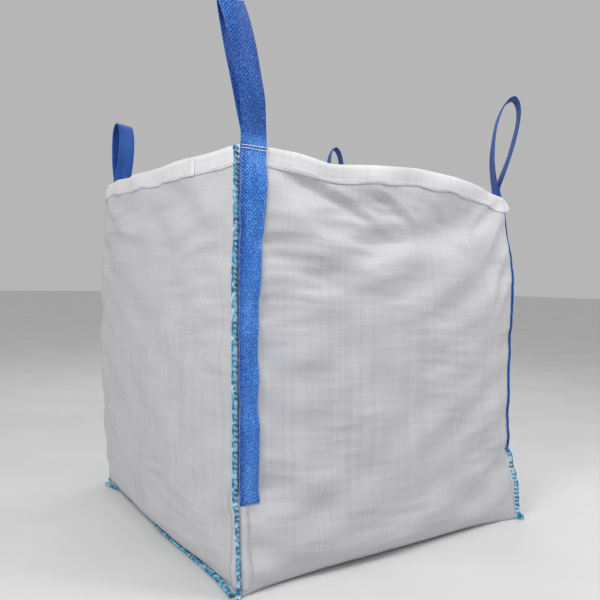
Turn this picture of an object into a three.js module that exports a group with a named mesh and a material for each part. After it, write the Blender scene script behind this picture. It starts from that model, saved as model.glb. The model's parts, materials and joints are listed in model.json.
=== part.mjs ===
// Bulk bag (flexible intermediate bulk container): open top, flat base, four corner lifting loops.
// Millimetres, +Z up. The origin is the centre of the base, at the level the bag stands on.
//
// One long panel makes the front, the base and the rear. Two side panels are sewn in between, each
// with one overlocked seam that runs down a corner, along the base and up the next corner.
import * as THREE from 'three';

// --- Driving dimensions -------------------------------------------------------------------------

const halfWidth = 450;          // half of the square base
const fabric = 3;               // thickness of a panel
const bulge = 34;               // how far the middle of a face swells
const rimSag = 8;               // how far the rim hangs between its corners
const cornerHeight = { front_left: 970, front_right: 940, rear_left: 980, rear_right: 956 };
const hemDepth = 38;            // width of the folded and stitched rim
const hemThickness = 2.1;
const stiffRim = 52;            // band below the rim that the hem holds straight
const gap = 0.3;                // air between two pieces that are sewn face to face
const finWidth = 22;            // seam allowance that stands out of a corner or a bottom edge
const strapWidth = 60;          // lifting webbing
const strapThickness = 2.3;
const strapEnd = 200;           // height of the sewn legs' lower end
const seamToStrap = 4;          // corner seam to the webbing's edge
const eyeStart = 22;            // webbing above the hinge line before the loop's eye opens
const threadThickness = 0.8;
const overlockWidth = 11;
const knotRadius = 6;

// Each loop: the face its legs are sewn to, which end of it, and how the free webbing stands.
const loops = [
  { name: 'front_left', face: 'front', end: -1, length: 318, eye: 30, lean: -40, twist: 6 },
  { name: 'rear_left', face: 'rear', end: -1, length: 224, eye: 42, lean: 6, twist: 14 },
  { name: 'front_right', face: 'right', end: -1, length: 288, eye: 36, lean: 6, twist: 12 },
  { name: 'rear_right', face: 'right', end: 1, length: 262, eye: 32, lean: 0, twist: 12 },
];

// A face is named by the way its width runs and the way it looks outwards.
const faces = {
  front: { along: [1, 0], out: [0, -1], corners: ['front_left', 'front_right'] },
  rear: { along: [1, 0], out: [0, 1], corners: ['rear_left', 'rear_right'] },
  left: { along: [0, 1], out: [-1, 0], corners: ['front_left', 'rear_left'] },
  right: { along: [0, 1], out: [1, 0], corners: ['front_right', 'rear_right'] },
};

const wovenWhite = () => new THREE.MeshStandardMaterial({ color: 0xd6d6da, roughness: 0.7, metalness: 0 });
const webbingBlue = () => new THREE.MeshStandardMaterial({ color: 0x2f62ac, roughness: 0.75, metalness: 0 });
const threadTurquoise = () => new THREE.MeshStandardMaterial({ color: 0x2c9dc8, roughness: 0.6, metalness: 0 });
const threadWhite = () => new THREE.MeshStandardMaterial({ color: 0xf0f0f2, roughness: 0.6, metalness: 0 });

const bag = new THREE.Group();

function add(name, geometry, material) {
  const mesh = new THREE.Mesh(geometry, material);
  mesh.name = name;
  bag.add(mesh);
}

// --- The filled bag's surface -------------------------------------------------------------------

function rimHeight(face, across) {
  const share = across / halfWidth;
  const [low, high] = faces[face].corners.map((corner) => cornerHeight[corner]);
  return THREE.MathUtils.lerp(low, high, (share + 1) / 2) - rimSag * (1 - share * share);
}

// A point on a face: across is measured from the face's middle, proud is outwards from the fabric.
function facePoint(face, across, z, proud) {
  const share = across / halfWidth;
  const level = Math.min(z / (rimHeight(face, across) - stiffRim), 1);
  const swell = bulge * Math.max(1 - share * share, 0) * Math.sin(Math.PI * level ** 0.8);
  const reach = halfWidth + swell + proud;
  const { along, out } = faces[face];
  return [along[0] * across + out[0] * reach, along[1] * across + out[1] * reach, z];
}

function spread(start, end, count) {
  return Array.from({ length: count + 1 }, (_, i) => THREE.MathUtils.lerp(start, end, i / count));
}

// Every layer on a face bends at the same upright lines, so that layers never cut into each other.
const strapFolds = spread(halfWidth - seamToStrap - strapWidth, halfWidth - seamToStrap, 3);
const middleFolds = spread(-strapFolds[0], strapFolds[0], 8).slice(1, -1);
const rightFolds = [...strapFolds, halfWidth];
const foldLines = [...[...rightFolds].reverse().map((across) => -across), ...middleFolds, ...rightFolds];

function columnsBetween(low, high) {
  return [low, ...foldLines.filter((across) => across > low && across < high), high];
}

// --- Closed thin solids -------------------------------------------------------------------------

function signedVolume(points, triangles) {
  let sum = 0;
  for (const [a, b, c] of triangles) {
    const p = new THREE.Vector3(...points[a]);
    const q = new THREE.Vector3(...points[b]);
    const r = new THREE.Vector3(...points[c]);
    sum += p.dot(q.cross(r));
  }
  return sum;
}

// A sheet with thickness on a grid of columns and rows. pointAt gives the outer (layer 0) and the
// inner (layer 1) point. keep leaves out grid cells, and every open edge gets a wall.
function slab(pointAt, columns, rows, keep = () => true) {
  const points = [];
  const index = new Map();
  const corner = (i, j, layer) => {
    const key = `${i},${j},${layer}`;
    if (!index.has(key)) {
      index.set(key, points.length);
      points.push(pointAt(columns[i], rows[j], layer));
    }
    return index.get(key);
  };
  const kept = (i, j) => i >= 0 && j >= 0 && i < columns.length - 1 && j < rows.length - 1 && keep(i, j);
  const triangles = [];
  const quad = (a, b, c, d) => triangles.push([a, b, c], [a, c, d]);
  for (let i = 0; i < columns.length - 1; i++) {
    for (let j = 0; j < rows.length - 1; j++) {
      if (!kept(i, j)) continue;
      const ring = [[i, j], [i + 1, j], [i + 1, j + 1], [i, j + 1]];
      quad(...ring.map(([p, q]) => corner(p, q, 0)));
      quad(...[...ring].reverse().map(([p, q]) => corner(p, q, 1)));
      const neighbours = [[i, j - 1], [i + 1, j], [i, j + 1], [i - 1, j]];
      neighbours.forEach(([p, q], side) => {
        if (kept(p, q)) return;
        const from = ring[side];
        const to = ring[(side + 1) % 4];
        quad(corner(...to, 0), corner(...from, 0), corner(...from, 1), corner(...to, 1));
      });
    }
  }
  const outward = signedVolume(points, triangles) > 0;
  const geometry = new THREE.BufferGeometry();
  geometry.setAttribute('position', new THREE.Float32BufferAttribute(points.flat(), 3));
  geometry.setIndex(triangles.flatMap(([a, b, c]) => (outward ? [a, b, c] : [a, c, b])));
  return geometry;
}

// A layer that lies on a face, with a proud distance that may change with height.
function layer(face, columns, rows, proudAt, thickness, keep) {
  const pointAt = (across, row, side) => {
    const z = typeof row === 'function' ? row(across) : row;
    return facePoint(face, across, z, proudAt(z) + (side === 0 ? thickness : 0));
  };
  return slab(pointAt, columns, rows, keep);
}

function box(low, high) {
  const size = high.map((value, i) => value - low[i]);
  const geometry = new THREE.BoxGeometry(...size);
  geometry.translate(...low.map((value, i) => value + size[i] / 2));
  return geometry;
}

// --- Panels -------------------------------------------------------------------------------------

// The heights at which a wall bends, from its foot up to the rim above that place.
const wallRows = [
  ...spread(0, 1, 12).map((level) => (foot, rim) => THREE.MathUtils.lerp(foot, rim - stiffRim, level)),
  (foot, rim) => rim,
];

function makeBodyPanel() {
  const rows = [
    ...[...wallRows].reverse().map((heightAt) => ({ face: 'front', heightAt })),
    ...spread(-halfWidth, halfWidth, 6).slice(1, -1).map((y) => ({ y })),
    ...wallRows.map((heightAt) => ({ face: 'rear', heightAt })),
  ];
  const pointAt = (x, row, side) => {
    if (row.face === undefined) return [x, row.y, side * fabric];
    const z = row.heightAt(0, rimHeight(row.face, x));
    const [px, py] = facePoint(row.face, x, z, -side * fabric);
    return [px, py, z === 0 ? side * fabric : z];
  };
  return slab(pointAt, foldLines, rows);
}

function makeSidePanel(face) {
  const foot = fabric + 1;
  const edge = halfWidth - fabric - 1;
  const pointAt = (across, heightAt, side) => {
    const z = heightAt(foot, rimHeight(face, across));
    return facePoint(face, across, z, -side * fabric);
  };
  return slab(pointAt, columnsBetween(-edge, edge), wallRows);
}

add('body_panel_front_base_rear', makeBodyPanel(), wovenWhite());
add('side_panel_left', makeSidePanel('left'), wovenWhite());
add('side_panel_right', makeSidePanel('right'), wovenWhite());

// --- Rim hems and their stitch lines ------------------------------------------------------------

const hemEnds = { front: [1, 1], rear: [1, 1], left: [6, 6], right: [6, 6] };
const strapClear = seamToStrap + strapWidth + 8;
const stitchEnds = { front: [strapClear, 8], rear: [strapClear, 8], left: [10, 10], right: [strapClear, strapClear] };

for (const face of Object.keys(faces)) {
  const [hemLow, hemHigh] = hemEnds[face];
  const hemColumns = columnsBetween(-halfWidth + hemLow, halfWidth - hemHigh);
  const rim = (across) => rimHeight(face, across);
  const hemFoot = (across) => rimHeight(face, across) - hemDepth;
  add(`rim_hem_${face}`, layer(face, hemColumns, [hemFoot, rim], () => gap, hemThickness), wovenWhite());

  const [stitchLow, stitchHigh] = stitchEnds[face];
  const stitchColumns = columnsBetween(-halfWidth + stitchLow, halfWidth - stitchHigh);
  const stitchRows = [6, 4].map((up) => (across) => hemFoot(across) + up).reverse();
  const onHem = () => gap + hemThickness + gap;
  const stitch = layer(face, stitchColumns, stitchRows, onHem, threadThickness);
  add(`hem_stitch_line_${face}`, stitch, threadWhite());
}

// --- Seam allowances (fins), overlock threads and their knots ------------------------------------

const finClear = 0.8;
const finTopInset = 6;
for (const [name, height] of Object.entries(cornerHeight)) {
  const sideX = name.endsWith('left') ? -1 : 1;
  const sideY = name.startsWith('front') ? -1 : 1;
  const along = (near, far) => [sideX * (halfWidth + near), sideX * (halfWidth + far)].sort((a, b) => a - b);
  const depth = (near, far) => [sideY * (halfWidth + near), sideY * (halfWidth + far)].sort((a, b) => a - b);
  const place = (xs, ys, zs) => box([xs[0], ys[0], zs[0]], [xs[1], ys[1], zs[1]]);
  const heights = [knotRadius * 1.5, height - finTopInset];
  const finX = along(finClear, finWidth);
  const finY = depth(-fabric, -gap);
  add(`corner_seam_allowance_${name}`, place(finX, finY, heights), wovenWhite());
  const threadX = along(finWidth - overlockWidth, finWidth);
  const threadY = depth(0, threadThickness);
  add(`corner_overlock_thread_${name}`, place(threadX, threadY, heights), threadTurquoise());
  const knot = new THREE.SphereGeometry(knotRadius, 10, 7);
  knot.translate(sideX * (halfWidth + finWidth + gap + knotRadius), sideY * halfWidth, knotRadius + 1);
  add(`thread_knot_${name}`, knot, threadTurquoise());
}

const bottomFinInset = 10;
for (const [name, side] of [['left', -1], ['right', 1]]) {
  const xs = (near, far) => [side * (halfWidth + near), side * (halfWidth + far)].sort((a, b) => a - b);
  const reach = halfWidth - bottomFinInset;
  const [finLow, finHigh] = xs(finClear, finWidth);
  const fin = box([finLow, -reach, 0], [finHigh, reach, fabric]);
  add(`bottom_seam_allowance_${name}`, fin, wovenWhite());
  const [threadLow, threadHigh] = xs(finWidth - overlockWidth, finWidth);
  const threadFoot = fabric + gap;
  const thread = box([threadLow, -reach, threadFoot], [threadHigh, reach, threadFoot + threadThickness]);
  add(`bottom_overlock_thread_${name}`, thread, threadTurquoise());
}

// --- Lifting straps -----------------------------------------------------------------------------

// The free part of a strap: webbing that goes up, round the crown and down again. Its outline lies
// in the plane of the face's outward direction and +Z, with the hinge line at its origin.
function loopOutline(length, eye) {
  const eyeHeight = length - eyeStart - strapThickness;
  const middle = eyeStart + eyeHeight / 2;
  const inner = (angle) => new THREE.Vector2(
    eye * Math.sin(angle) * Math.sin(angle / 2),
    middle - (eyeHeight / 2) * Math.cos(angle),
  );
  const steps = 27;                                // odd, so that the crown has a level facet
  const angles = spread(0, 2 * Math.PI, steps);
  const eyePoints = angles.slice(0, -1).map(inner);
  const outer = angles.slice(1, -1).map((angle) => {
    const tangent = inner(angle + 0.01).sub(inner(angle - 0.01)).normalize();
    return inner(angle).add(new THREE.Vector2(tangent.y, -tangent.x).multiplyScalar(strapThickness));
  });
  const shape = new THREE.Shape();
  shape.absarc(0, 0, strapThickness, Math.PI, 2 * Math.PI, false);
  shape.lineTo(strapThickness, eyeStart);
  outer.forEach((point) => shape.lineTo(point.x, point.y));
  shape.lineTo(-strapThickness, eyeStart);
  shape.closePath();
  shape.holes.push(new THREE.Path(eyePoints));
  return shape;
}

function makeLoop(loop, centre, hingeZ, proud) {
  const outline = loopOutline(loop.length, loop.eye);
  const geometry = new THREE.ExtrudeGeometry(outline, {
    depth: strapWidth, bevelEnabled: false, curveSegments: 8,
  });
  const { along, out } = faces[loop.face];
  const position = geometry.getAttribute('position');
  for (let i = 0; i < position.count; i++) {
    const n = position.getX(i);
    const height = position.getY(i);
    const w = position.getZ(i) - strapWidth / 2;
    const rise = THREE.MathUtils.clamp((height - eyeStart) / (loop.length - eyeStart), 0, 1);
    const turn = THREE.MathUtils.degToRad(loop.twist) * rise;
    const across = centre + loop.lean * rise ** 1.3 + w * Math.cos(turn) - n * Math.sin(turn);
    const reach = halfWidth + proud + w * Math.sin(turn) + n * Math.cos(turn);
    const x = along[0] * across + out[0] * reach;
    const y = along[1] * across + out[1] * reach;
    position.setXYZ(i, x, y, hingeZ + height);
  }
  const mirrored = along[0] * out[1] - along[1] * out[0] < 0;
  if (mirrored) flipFaces(geometry);
  return geometry;
}

function flipFaces(geometry) {
  const position = geometry.getAttribute('position');
  for (let i = 0; i < position.count; i += 3) {
    const second = [position.getX(i + 1), position.getY(i + 1), position.getZ(i + 1)];
    position.setXYZ(i + 1, position.getX(i + 2), position.getY(i + 2), position.getZ(i + 2));
    position.setXYZ(i + 2, ...second);
  }
}

const hingeRise = strapThickness + 2;              // hinge line above the highest rim under it
const outerLegDrop = 8;                            // room for the loop to fold down outside
const underLegEnd = strapEnd + 30;
for (const loop of loops) {
  const outerEdge = loop.end * (halfWidth - seamToStrap);
  const innerEdge = loop.end * (halfWidth - seamToStrap - strapWidth);
  const columns = spread(Math.min(outerEdge, innerEdge), Math.max(outerEdge, innerEdge), 3);
  const centre = (outerEdge + innerEdge) / 2;
  const rim = rimHeight(loop.face, outerEdge);
  const top = rim - 0.2;
  // The legs lie on the panel, and step out over the hem near the rim.
  const overHem = (z) => {
    const step = THREE.MathUtils.smoothstep(z, rim - hemDepth - 32, rim - hemDepth - 14);
    return gap + step * (hemThickness + gap);
  };
  const rows = (low, high) => [...spread(low, rim - 80, 9), ...spread(rim - 75, rim - 45, 4), high];

  const underLeg = layer(loop.face, columns, rows(underLegEnd, top), overHem, strapThickness);
  add(`strap_under_leg_${loop.name}`, underLeg, webbingBlue());
  const onUnder = (z) => overHem(z) + strapThickness + gap;
  const outerTop = top - outerLegDrop;
  const outerLeg = layer(loop.face, columns, rows(strapEnd, outerTop), onUnder, strapThickness);
  add(`strap_outer_leg_${loop.name}`, outerLeg, webbingBlue());

  const onOuter = (z) => onUnder(z) + strapThickness + gap;
  const stitchReach = strapWidth / 2 - 4;
  const stitchColumns = [-stitchReach, 2 - stitchReach, stitchReach - 2, stitchReach].map((w) => centre + w);
  const stitchFoot = strapEnd + 6;
  const stitchRows = [stitchFoot, ...spread(stitchFoot + 2, rim - 80, 9), ...spread(rim - 75, rim - 45, 4)];
  const edgeOrFoot = (i, j) => i !== 1 || j === 0;
  const stitching = layer(loop.face, stitchColumns, stitchRows, onOuter, threadThickness, edgeOrFoot);
  add(`strap_edge_stitching_${loop.name}`, stitching, threadWhite());

  const tackColumns = spread(centre - stitchReach, centre + stitchReach, 3);
  const tack = layer(loop.face, tackColumns, [outerTop - 12, outerTop - 2], onOuter, threadThickness);
  add(`rim_tack_stitching_${loop.name}`, tack, threadWhite());

  const stackMiddle = gap + hemThickness + gap + strapThickness + gap / 2;
  const free = makeLoop(loop, centre, rim + hingeRise, stackMiddle);
  add(`lift_loop_${loop.name}`, free, webbingBlue());
}

export default bag;
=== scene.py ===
# %% [markdown]
# # A bulk bag in woven polypropylene
#
# A bulk bag is a square sack that carries about a tonne of loose goods. This one has an open top, a
# flat base and four webbing loops, one at each top corner. The lesson builds it as a sewing shop
# would: panels first, then hems and seams, then straps, and the thread last.
#
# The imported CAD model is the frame. It gives the base, the rim corners, the lines that the loops
# turn about and the bodies that move, and nothing in it is moved here.

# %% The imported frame
import json
import math
import bpy
import numpy as np
from mathutils import Matrix, Vector


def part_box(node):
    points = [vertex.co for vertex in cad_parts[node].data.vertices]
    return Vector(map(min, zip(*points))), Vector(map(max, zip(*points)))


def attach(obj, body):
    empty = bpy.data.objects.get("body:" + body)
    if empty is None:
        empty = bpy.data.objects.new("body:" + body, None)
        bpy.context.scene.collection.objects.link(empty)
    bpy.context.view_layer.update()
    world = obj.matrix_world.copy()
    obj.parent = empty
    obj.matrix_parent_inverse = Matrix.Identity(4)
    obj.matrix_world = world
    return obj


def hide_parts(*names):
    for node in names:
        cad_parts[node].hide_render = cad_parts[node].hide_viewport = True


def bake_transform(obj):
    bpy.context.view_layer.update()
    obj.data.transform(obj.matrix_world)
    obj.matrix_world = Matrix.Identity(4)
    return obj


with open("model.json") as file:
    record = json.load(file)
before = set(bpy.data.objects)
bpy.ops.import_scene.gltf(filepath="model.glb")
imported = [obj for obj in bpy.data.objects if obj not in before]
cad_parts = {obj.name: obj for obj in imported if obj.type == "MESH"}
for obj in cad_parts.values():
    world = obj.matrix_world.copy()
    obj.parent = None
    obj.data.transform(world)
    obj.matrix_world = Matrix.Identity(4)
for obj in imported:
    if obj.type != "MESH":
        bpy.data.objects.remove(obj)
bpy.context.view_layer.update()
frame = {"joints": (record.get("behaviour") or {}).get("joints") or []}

SCENE = bpy.context.scene

# %% [markdown]
# ## Measures taken from the frame
#
# Everything that follows hangs on four upright corner seams. Their heights differ, because a bag
# that is held up by hand-filled goods is never quite even, and the rim sags between them. Each
# face gets a name, the way its width runs and the way it looks outwards.

# %% Measures taken from the frame
MM = 0.001
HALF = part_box("body_panel_front_base_rear")[1].x
FIN_TOP_INSET = 6 * MM
HEM_DEPTH = 38 * MM
STRAP_WIDTH = 60 * MM
WEBBING = 2.3 * MM
CORNERS = ("front_left", "front_right", "rear_left", "rear_right")
RIM_CORNER = {c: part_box("corner_seam_allowance_" + c)[1].z + FIN_TOP_INSET for c in CORNERS}
FACES = {
    "front": {"along": Vector((1, 0, 0)), "out": Vector((0, -1, 0)), "ends": ("front_left", "front_right")},
    "rear": {"along": Vector((1, 0, 0)), "out": Vector((0, 1, 0)), "ends": ("rear_left", "rear_right")},
    "left": {"along": Vector((0, 1, 0)), "out": Vector((-1, 0, 0)), "ends": ("front_left", "rear_left")},
    "right": {"along": Vector((0, 1, 0)), "out": Vector((1, 0, 0)), "ends": ("front_right", "rear_right")},
}
STAND = {"front_left": (-1, -1), "front_right": (1, -1), "rear_left": (-1, 1), "rear_right": (1, 1)}
SEAM_LEAN = {              # how far each upright seam stands off the frame at its top and foot, in mm
    "front_left": ((-9, 4), (7, -3)),
    "front_right": ((-24, 34), (13, -19)),
    "rear_left": ((-9, -1), (12, -2)),
    "rear_right": ((-8, -8), (6, 6)),
}
SEAM_BOW = {               # how far it then bows outwards at five even heights from foot to rim, in mm
    "front_left": (0, 2, 3, 2, 0),
    "front_right": (0, -18, -4, 19, 0),
    "rear_left": (0, 17, 24, 18, 0),
    "rear_right": (0, 10, 14, 10, 0),
}
HINGES = {j["child"].removeprefix("loop_"): Vector(j["pos_m"]) for j in frame["joints"]}
# how far each rim stands above the straight line between its corners: places and rises, in mm
RIM_WAVE = {
    "front": ((-450, -390, -300, -222, -90, 45, 180, 325, 400, 450), (2, 7, 5, -9, 7, 20, 19, 10, -1, -3)),
    "left": ((-450, -400, -160, 120, 350, 420, 450), (2, 0, -4, -2, 8, 6, -4)),
    "rear": ((-450, -380, -150, 120, 350, 450), (-4, 4, -12, -7, 0, 0)),
    "right": ((-450, -380, -120, 150, 390, 450), (-3, 0, -10, -12, 0, 0)),
}
RIM_STEPS = np.linspace(-HALF, HALF, 181)
BELL_REACH = 8             # steps on each side that the rounding of a curve takes in


def soft_curve(steps, places, values):
    """A curve through a few points, with its corners rounded off."""
    rough = np.interp(steps, places, values)
    before = 2 * rough[0] - rough[BELL_REACH:0:-1]
    after = 2 * rough[-1] - rough[-2:-BELL_REACH - 2:-1]
    bell = np.exp(-(np.arange(-BELL_REACH, BELL_REACH + 1) / (BELL_REACH / 2)) ** 2)
    return np.convolve(np.concatenate([before, rough, after]), bell / bell.sum(), "valid")


RIM_TABLE = {}
for face, (places, rises) in RIM_WAVE.items():
    line = np.interp(RIM_STEPS, (-HALF, HALF), [RIM_CORNER[c] for c in FACES[face]["ends"]])
    RIM_TABLE[face] = line + soft_curve(RIM_STEPS / MM, places, rises) * MM


def rim_height(face, across):
    """Height of the rim at a distance across from the middle of a face; numbers or arrays."""
    return np.interp(across, RIM_STEPS, RIM_TABLE[face])


print("half width", round(HALF, 3), "rim corners", {c: round(z, 3) for c, z in RIM_CORNER.items()})

# %% [markdown]
# ## Camera, floor and light
#
# The camera comes first, so that every later step can be judged through it. It stands two thirds
# of the way up the bag, close to it, and looks at the near corner, which gives the strong
# narrowing towards the far corners. Two softboxes above the left and the front, a wide one
# overhead and a pale sky give the soft studio look, and the floor is a plain pale plane.

# %% Camera, floor and light
CAMERA_PLACE = Vector((-1.105, -1.650, 0.688))
CAMERA_AZIMUTH = math.radians(-33.9)
CAMERA_ELEVATION = math.radians(1.74)
CAMERA_ROLL = math.radians(0.98)
CAMERA_LENS = 38.3
SKY_STRENGTH = 0.47
FLOOR_SIZE = 60


def make_camera():
    data = bpy.data.cameras.new("camera")
    data.lens = CAMERA_LENS
    data.sensor_width = 36
    camera = bpy.data.objects.new("camera", data)
    SCENE.collection.objects.link(camera)
    look = Vector((
        -math.sin(CAMERA_AZIMUTH) * math.cos(CAMERA_ELEVATION),
        math.cos(CAMERA_AZIMUTH) * math.cos(CAMERA_ELEVATION),
        -math.sin(CAMERA_ELEVATION),
    ))
    turn = look.to_track_quat("-Z", "Y").to_matrix().to_4x4()
    roll = Matrix.Rotation(CAMERA_ROLL, 4, "Z")
    camera.matrix_world = Matrix.Translation(CAMERA_PLACE) @ turn @ roll
    SCENE.camera = camera


def area_light(name, place, target, size, power, colour):
    data = bpy.data.lights.new(name, "AREA")
    data.shape = "SQUARE"
    data.size = size
    data.energy = power
    data.color = colour
    light = bpy.data.objects.new(name, data)
    SCENE.collection.objects.link(light)
    light.location = place
    light.rotation_euler = (Vector(target) - Vector(place)).to_track_quat("-Z", "Y").to_euler()


make_camera()
area_light("key_softbox", (-1.9, -1.1, 2.2), (-0.3, 0, 0.85), 0.8, 30, (1.0, 0.99, 0.97))
area_light("front_softbox", (0.9, -1.6, 2.3), (0.1, -0.4, 0.9), 0.8, 22, (0.98, 0.98, 1.0))
area_light("top_softbox", (0.6, 1.2, 3.2), (0, 0, 0.5), 2.4, 25, (1.0, 1.0, 1.0))
SCENE.view_settings.view_transform = "Standard"
print("camera at", tuple(round(x, 3) for x in CAMERA_PLACE), "lens", CAMERA_LENS)

# %% [markdown]
# ## Colour and node helpers
#
# Colours are chosen as the hex values that a screen shows, and Blender wants them linear, so one
# function converts them. A second one adds a shader node with its settings and its links.


# %% Colour and node helpers
def linear(hex_colour):
    """An sRGB hex value as a linear RGBA tuple."""
    def channel(value):
        share = value / 255
        return share / 12.92 if share <= 0.04045 else ((share + 0.055) / 1.055) ** 2.4
    rgb = [int(hex_colour[i:i + 2], 16) for i in (0, 2, 4)]
    return (*[channel(value) for value in rgb], 1.0)


def node(tree, kind, inputs=None, stops=(), **settings):
    """Adds a node. An input's value is a constant, or an output socket to link from."""
    made = tree.nodes.new(kind)
    for number, (position, colour) in enumerate(stops):
        elements = made.color_ramp.elements
        element = elements[number] if number < 2 else elements.new(position)
        element.position = position
        element.color = linear(colour)
    for name, value in settings.items():
        setattr(made, name, value)
    for name, value in (inputs or {}).items():
        socket = made.inputs[name]
        if isinstance(value, bpy.types.NodeSocket):
            tree.links.new(value, socket)
        else:
            socket.default_value = value
    return made


def new_material(name):
    material = bpy.data.materials.new(name)
    material.use_nodes = True
    tree = material.node_tree
    tree.nodes.clear()
    return material, tree


def finish_material(tree, **inputs):
    shader = node(tree, "ShaderNodeBsdfPrincipled", {k.replace("_", " "): v for k, v in inputs.items()})
    node(tree, "ShaderNodeOutputMaterial", {"Surface": shader.outputs["BSDF"]})


def stage_floor():
    material, tree = new_material("painted_studio_floor")
    where = node(tree, "ShaderNodeTexCoord").outputs["Object"]
    grain = node(tree, "ShaderNodeTexNoise", {"Vector": where, "Scale": 3.0, "Detail": 3.0})
    stops = [(0.3, "dedede"), (0.7, "e4e4e4")]
    colour = node(tree, "ShaderNodeValToRGB", {"Fac": grain.outputs["Fac"]}, stops)
    finish_material(tree, Base_Color=colour.outputs["Color"], Roughness=0.9)
    bpy.ops.mesh.primitive_plane_add(size=FLOOR_SIZE, location=(0, 0, -1 * MM))
    floor = bpy.context.object
    floor.name = "floor"
    floor.data.materials.append(material)
    world = bpy.data.worlds.new("pale_sky")
    SCENE.world = world
    world.use_nodes = True
    background = world.node_tree.nodes["Background"]
    background.inputs["Color"].default_value = linear("ffffff")
    background.inputs["Strength"].default_value = SKY_STRENGTH


stage_floor()

# %% [markdown]
# ## Woven polypropylene
#
# The panels are woven from flat tapes of stretched polypropylene film, 2 to 3 mm wide. The eye
# sees a milky white with faint upright and level streaks, because no two tapes have the same
# thickness, and a dull gloss on the tapes' flat faces. Each panel carries a UV map in metres, so
# that the streaks follow the warp and the weft wherever the cloth goes. Single tapes would be
# finer than the camera can see, so the weave is drawn with tapes 5 mm wide.


# %% Woven polypropylene
TAPE = 5 * MM


def streaks(tree, vector, across, along, seed):
    """Noise drawn out along one thread direction: scales are per metre."""
    place = {"Vector": vector, "Scale": (across, along, 1.0), "Location": (seed, seed, 0)}
    mapping = node(tree, "ShaderNodeMapping", place)
    grain = {"Vector": mapping.outputs["Vector"], "Scale": 1.0, "Detail": 2.0}
    return node(tree, "ShaderNodeTexNoise", grain).outputs["Fac"]


def woven_polypropylene(name, light, mid, dark):
    material, tree = new_material(name)
    cut = node(tree, "ShaderNodeUVMap", uv_map="cut").outputs["UV"]
    warp = streaks(tree, cut, 1 / (1.5 * TAPE), 1.1, 3.1)
    weft = streaks(tree, cut, 1.1, 1 / TAPE, 9.7)
    cloud = streaks(tree, cut, 5.0, 5.0, 5.3)
    threads = node(tree, "ShaderNodeMix", {"Factor": 0.45, "A": warp, "B": weft}).outputs["Result"]
    tone = node(tree, "ShaderNodeMix", {"Factor": 0.25, "A": threads, "B": cloud}).outputs["Result"]
    stops = [(0.36, dark), (0.5, mid), (0.64, light)]
    colour = node(tree, "ShaderNodeValToRGB", {"Fac": tone}, stops).outputs["Color"]
    weave = node(tree, "ShaderNodeTexVoronoi", {"Vector": cut, "Scale": 1 / TAPE, "Randomness": 0.25})
    grain = node(
        tree, "ShaderNodeMath", {0: weave.outputs["Distance"], 1: -0.3, 2: tone},
        operation="MULTIPLY_ADD",
    )
    slack = streaks(tree, cut, 14.0, 75.0, 4.4)
    height = node(
        tree, "ShaderNodeMath", {0: slack, 1: 2.6, 2: grain.outputs[0]}, operation="MULTIPLY_ADD",
    )
    relief = {"Height": height.outputs[0], "Strength": 0.35, "Distance": 1.0 * MM}
    bump = node(tree, "ShaderNodeBump", relief)
    roughness = node(tree, "ShaderNodeMapRange", {"Value": warp, "To Min": 0.42, "To Max": 0.62})
    finish_material(
        tree, Base_Color=colour, Roughness=roughness.outputs["Result"], IOR=1.49,
        Normal=bump.outputs["Normal"], Sheen_Weight=0.08, Sheen_Roughness=0.5,
    )
    return material


PANEL_CLOTH = woven_polypropylene("woven_pp_tape_fabric", "cfcfd3", "c8c8cc", "c0c0c5")
# Painted light: hems and seam fins get a lighter copy of the same woven cloth, for the light they catch.
PAINTED_LIGHT_CLOTH = woven_polypropylene("pp_fabric_painted_lighter", "e9e9eb", "e2e2e5", "d8d8dc")
print("fabric materials", PANEL_CLOTH.name, PAINTED_LIGHT_CLOTH.name)

# %% [markdown]
# ## Polypropylene webbing
#
# The lifting straps are woven as a herringbone: twill lines that climb to the left in one column
# and to the right in the next. The yarns are shiny bundles of filament, so the raised part of
# each twill line is a lighter blue than the groove beside it. Such columns are usually a few
# millimetres wide; they are drawn at 7.5 mm, so that the pattern shows from the camera. The loops
# and the folded-over strap edges get painted shade: a darker ramp, mixed in by a point attribute.

# %% Polypropylene webbing
HERRINGBONE_COLUMN = 7.5 * MM
TWILL_PITCH = 7.5 * MM


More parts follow.
